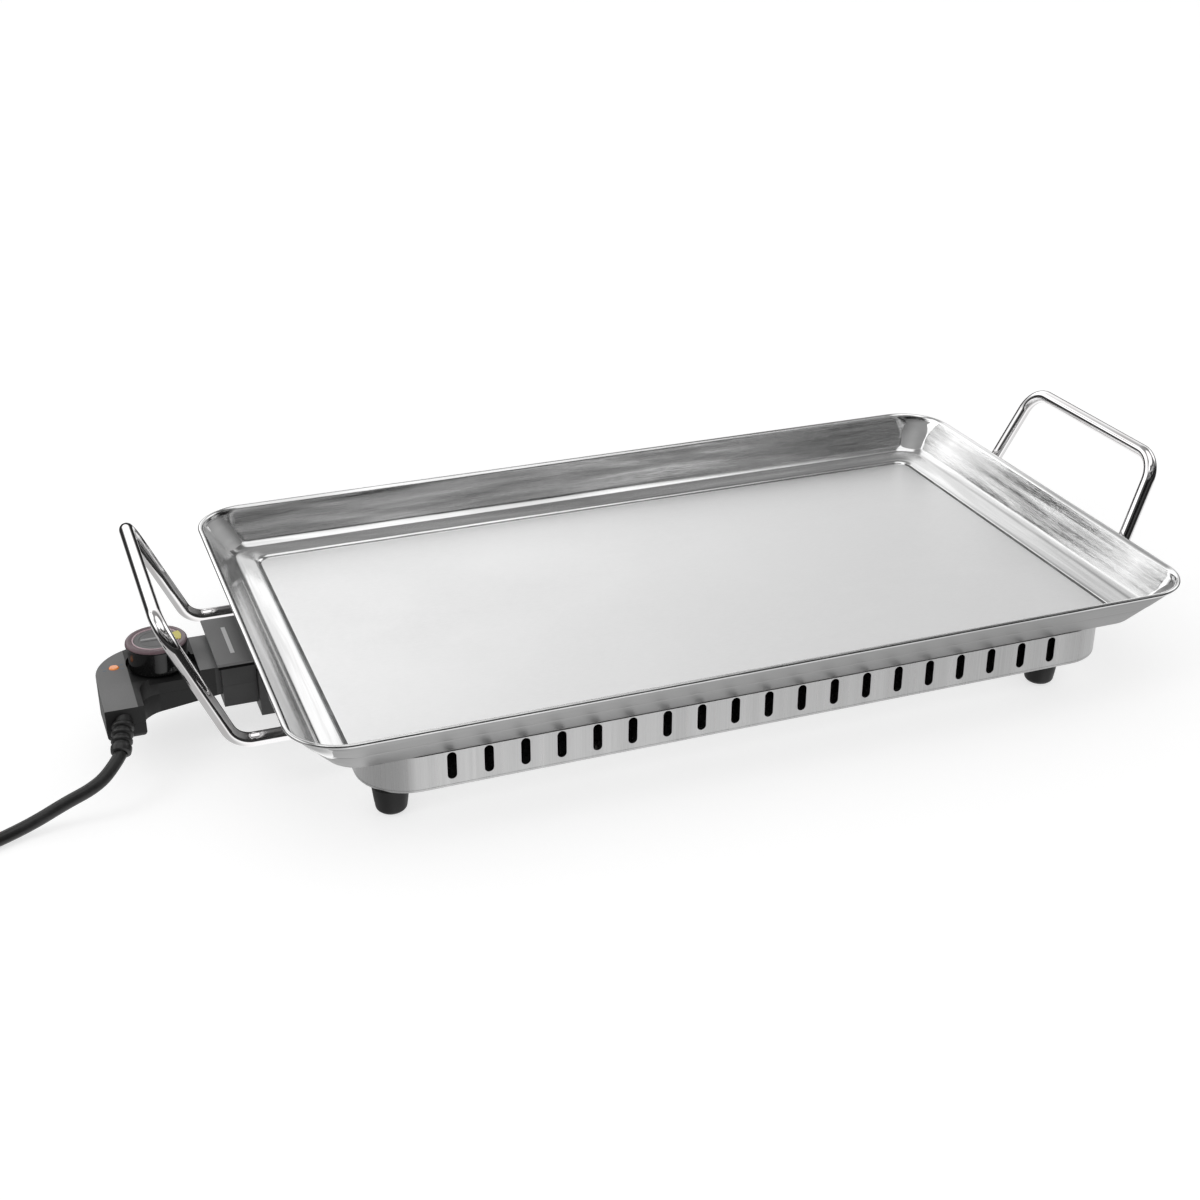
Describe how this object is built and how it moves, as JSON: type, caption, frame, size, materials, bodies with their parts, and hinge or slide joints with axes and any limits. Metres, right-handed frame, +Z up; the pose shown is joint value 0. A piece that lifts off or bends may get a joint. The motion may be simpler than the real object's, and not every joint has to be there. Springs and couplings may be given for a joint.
{
  "type": "electric griddle",
  "caption": "Table-top electric griddle: sunk rectangular steel cooking tray on a slotted base with wire handles and a plug-on thermostat with lead.",
  "frame": {"origin": "centre of the four feet, on the table", "axes": "+Z up; +X along the griddle's length, away from the thermostat; +Y to the back"},
  "size_m": [0.8365, 0.3204, 0.11],
  "materials": {
    "polished_steel": "polished walls, satin floor",
    "outer_steel": "satin",
    "brushed_base": "brushed upright",
    "inner_steel": "zinc plated",
    "dark_shield": "black heat-proof enamel",
    "foot_rubber": "matt black",
    "screw_steel": "zinc plated",
    "handle_chrome": "bright chrome",
    "heater_sheath": "oxidised sheath",
    "heat_plate": "cast",
    "insulation": "white glass fibre",
    "inlet_black": "matt black phenolic",
    "hood_grey": "fine-grained charcoal",
    "pin_metal": "nickel-plated brass",
    "ceramic": "glazed ceramic",
    "probe_steel": "drawn stainless tube",
    "case_grey": "fine-grained charcoal",
    "case_black": "satin black",
    "lens_orange": "orange lens",
    "lamp_glass": "clear glass",
    "knob_black": "gloss black",
    "knob_mauve": "gloss mauve ring",
    "knob_grey": "grey face",
    "shaft_steel": "turned steel",
    "cord_black": "satin black rubber",
    "plug_black": "satin black",
    "plug_metal": "nickel plated"
  },
  "bodies": {
    "griddle": {"base_skirt": "brushed_base", "bottom_cover": "brushed_base", "clamp_screws": "screw_steel", "cooking_tray": "polished_steel", "corner_posts": "inner_steel", "cover_screws": "screw_steel", "earth_blade": "inner_steel", "element_clamps": "inner_steel", "foot_front_left": "foot_rubber", "foot_front_right": "foot_rubber", "foot_rear_left": "foot_rubber", "foot_rear_right": "foot_rubber", "foot_screws": "screw_steel", "handle_left": "handle_chrome", "handle_nuts_inner": "screw_steel", "handle_nuts_outer": "screw_steel", "handle_right": "handle_chrome", "handle_stiffener_left": "inner_steel", "handle_stiffener_right": "inner_steel", "heat_plate": "heat_plate", "heat_shield": "dark_shield", "heating_element": "heater_sheath", "inlet_bushes": "ceramic", "inlet_hood": "hood_grey", "inlet_housing": "inlet_black", "inlet_pins": "pin_metal", "inlet_screws": "screw_steel", "insulation_pad": "insulation", "probe_guide": "probe_steel", "under_tray": "outer_steel"},
    "thermostat": {"thermostat_top_shell": "case_grey", "thermostat_bottom_shell": "case_black", "shell_screws": "screw_steel", "probe_tube": "probe_steel", "bimetal_strip": "pin_metal", "contact_sleeves": "pin_metal", "earth_clip": "inner_steel", "switch_frame": "inner_steel", "contact_blades": "pin_metal", "neon_lens": "lens_orange", "neon_lamp": "lamp_glass", "cord_clamp": "case_black", "strain_relief": "cord_black", "cord_lead": "cord_black", "cord_coil": "cord_black", "cord_tail": "cord_black", "coil_tie": "cord_black", "plug_relief": "cord_black", "mains_plug": "plug_black", "plug_pins": "plug_metal"},
    "knob": {"knob": "knob_black", "knob_ring": "knob_mauve", "knob_insert": "knob_grey", "knob_shaft": "shaft_steel"}
  },
  "joints": [
    {"name": "thermostat_pull", "type": "slide", "parent": "griddle", "child": "thermostat", "axis": [-1, 0, 0], "range_m": [0, 0.1]},
    {"name": "knob_turn", "type": "hinge", "parent": "thermostat", "child": "knob", "pos_m": [-0.2995, 0, 0.05], "axis": [0, 0, 1], "range_deg": [-240, 0]}
  ]
}
